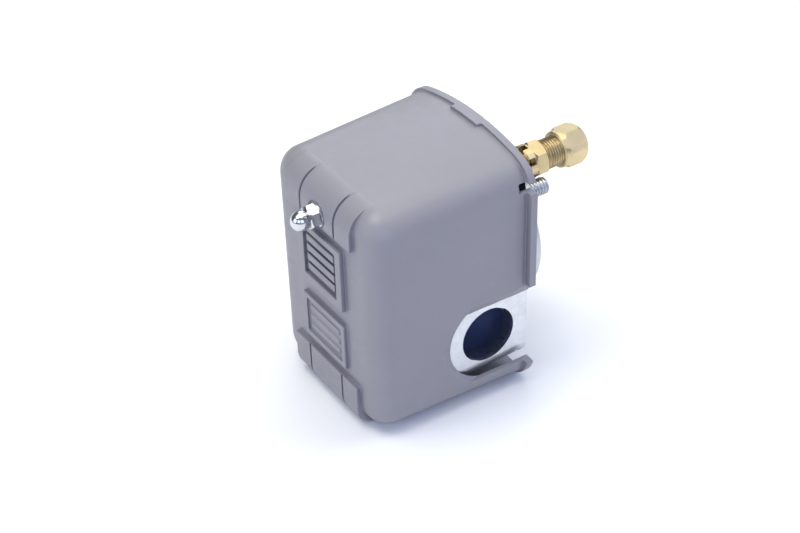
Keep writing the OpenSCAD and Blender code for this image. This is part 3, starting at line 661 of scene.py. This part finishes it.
# ---------------------------------------------------------------- threaded studs and springs
QUARTER_R, QUARTER_PITCH = 3.175, 1.27  # 1/4-20 thread
BRACKET_STUD = {"x": 27, "z": 31}
RANGE_STUD = {"x": 0, "z": STUD_Z}
DIFFERENTIAL_STUD = {"x": -15, "z": 33}


def stud(name, node, *solids):
    """Heads, shoulders and threads in one piece."""
    body = mesh_object(name, solids[0])
    for s in solids[1:]:
        combined(body, s, "UNION")
    smoothed(body, 48)
    finished(body, node)


def spring(name, node, *coils):
    """One or more coils in one piece."""
    body = mesh_object(name, merged(*coils))
    body.data.shade_smooth()
    finished(body, node)


stud("bracket_stud_piece", "bracket_stud",
     lathe([(3.0, -2.4), (3.17, -2.2), (3.17, 2.4), (2.5, 2.9), (2.5, 3.4)], **BRACKET_STUD),
     thread(QUARTER_R, QUARTER_PITCH, 3.0, 11.2, **BRACKET_STUD, depth=0.45))
stud("range_stud_piece", "range_stud",
     lathe([(4.2, 2.2), (4.6, 1.9), (4.6, 0.7), (2.7, 0.69), (2.7, 0.3)], **RANGE_STUD),
     thread(QUARTER_R, QUARTER_PITCH, -53, 0.6, **RANGE_STUD),
     thread(2.05, 0.8, -72.4, -52.6, **RANGE_STUD))
stud("differential_stud_piece", "differential_stud",
     lathe([(3.3, 2.0), (3.6, 1.7), (3.6, 0.7), (2.0, 0.69), (2.0, -0.3)], **DIFFERENTIAL_STUD),
     lathe([(2.9, -0.8), (3.0, -1.0), (3.0, -12.6), (2.0, -12.75)], **DIFFERENTIAL_STUD),
     thread(2.4, 0.9, -40, -12, **DIFFERENTIAL_STUD))

spring("range_spring_wire", "range_spring", coil(6.2, 0.95, 8, -9, -42, **RANGE_STUD))
spring("differential_spring_wire", "differential_spring",
       coil(3.9, 0.55, 9, -13.75, -32, **DIFFERENTIAL_STUD))
spring("bridge_spring_wires", "bridge_springs",
       *[coil(1.9, 0.28, 5, -26.6, -31, s * 8.4, -23.5) for s in (-1, 1)])
spring("snap_spring_wire", "snap_spring", coil(2.6, 0.4, 8, -9, -25.4, 0, 1))
spring("valve_spring_wire", "valve_spring", coil(1.7, 0.25, 6, 8.55, 14.95, VALVE_X, VALVE_Z))


# ---------------------------------------------------------------- the other parts
def refined(node, width):
    """A copy of a CAD node with its edges rounded."""
    obj = bpy.data.objects.new(node + "_piece", frame["nodes"][node].data.copy())
    bpy.context.collection.objects.link(obj)
    obj.data.transform(TO_ROW.inverted())
    softened(obj, width)
    finished(obj, node)


# how wide the rounding of each CAD node's edges is, in millimetres
EDGE_WIDTH = {
    "base_frame": 0.2, "pressure_flange": 0.35, "operating_lever": 0.2, "contact_block": 0.3,
    "contact_carrier": 0.25, "cover_washer": 0.12, "valve_bracket": 0.2, "diaphragm_piston": 0.2,
    "range_spring_seat": 0.15, "range_nut": 0.2, "range_stud_nut": 0.2, "differential_nut": 0.15,
    "valve_locknut": 0.2, "ground_screw": 0.18, "flange_screws": 0.15, "block_screws": 0.15,
    "terminal_screws": 0.12, "terminal_plates": 0.12, "wire_clamps": 0.12, "contact_bridges": 0.12,
    "fixed_contacts": 0.12, "moving_contacts": 0.12, "lever_pin": 0.15, "lever_pin_clip": 0.08,
    "carrier_pin": 0.1, "differential_washer": 0.1, "valve_plunger": 0.12, "ferrule": 0.1,
    "diaphragm": 0.15,
}
for name, width in EDGE_WIDTH.items():
    refined(name, width)


# ---------------------------------------------------------------- floor, light and camera
def floor():
    """A square of plain pale paper, three metres wide."""
    half = 1.5
    obj = mesh_object("floor", ([(-half, -half, 0), (half, -half, 0), (half, half, 0), (-half, half, 0)],
                                [(0, 1, 2, 3)]))
    s = Surface("floor_paper", specular=0.2)
    tone = s.mix(s.ramp(s.noise(3, 3), 0, 1, 0.3, 0.7), (0.86, 0.86, 0.87, 1), (0.88, 0.88, 0.885, 1))
    s.bump(s.noise(500, 3), 0.02 * MM, 0.3)
    obj.data.materials.append(s.done(tone, 0.7))


def area_light(name, place, size, power, rgb):
    """A square soft box that faces the object. place and size are in metres, power in watts."""
    light = bpy.data.lights.new(name, "AREA")
    light.shape = "SQUARE"
    light.size = size
    light.energy = power
    light.color = rgb
    obj = bpy.data.objects.new(name, light)
    bpy.context.collection.objects.link(obj)
    obj.location = place
    obj.rotation_mode = "QUATERNION"
    obj.rotation_quaternion = (TO_ROW.translation - Vector(place)).to_track_quat("-Z", "Y")


def camera():
    """The photograph's view: azimuth from the front towards the right, elevation and roll in degrees."""
    azimuth, elevation, roll = map(math.radians, (57.24, 36.69, -1.87))
    aim, distance = TO_ROW @ Vector((-2.83, -31.43, -4.53)), 634.3 * MM
    back = Vector((math.sin(azimuth) * math.cos(elevation), -math.cos(azimuth) * math.cos(elevation),
                   math.sin(elevation)))
    data = bpy.data.cameras.new("camera")
    data.sensor_width, data.lens = 36.0, 78.0
    data.clip_start, data.clip_end = 0.01, 20
    obj = bpy.data.objects.new("camera", data)
    bpy.context.collection.objects.link(obj)
    obj.rotation_mode = "QUATERNION"
    turn = (-back).to_track_quat("-Z", "Y").to_matrix().to_4x4() @ Matrix.Rotation(roll, 4, "Z")
    obj.rotation_quaternion = turn.to_quaternion()
    obj.location = aim + back * distance
    bpy.context.scene.camera = obj


def world():
    """A faint, even sky light."""
    w = bpy.data.worlds.new("studio")
    w.use_nodes = True
    background = next(n for n in w.node_tree.nodes if n.type == "BACKGROUND")
    background.inputs["Color"].default_value = (0.9, 0.93, 1.0, 1)
    background.inputs["Strength"].default_value = 0.14
    bpy.context.scene.world = w


floor()
world()
area_light("overhead", (-0.1, 0.15, 1.3), 1.2, 10.4, (1.0, 0.97, 0.88))
area_light("high_front", (-0.15, -0.45, 1.25), 0.7, 7.7, (1.0, 1.0, 0.97))
area_light("front", (-0.2, -1.4, 0.6), 0.8, 6.0, (0.72, 0.8, 1.0))
area_light("right", (1.3, -0.2, 0.7), 0.8, 5.8, (0.5, 0.62, 1.0))
area_light("front_right", (0.9, -1.1, 0.8), 0.8, 4.8, (0.62, 0.74, 1.0))
area_light("rear", (0.5, 1.2, 0.9), 0.8, 9.6, (0.7, 0.76, 1.0))
area_light("left_rear", (-1.1, 0.8, 0.9), 0.8, 5.6, (0.8, 0.88, 1.0))
camera()
bpy.context.scene.view_settings.view_transform = "Standard"
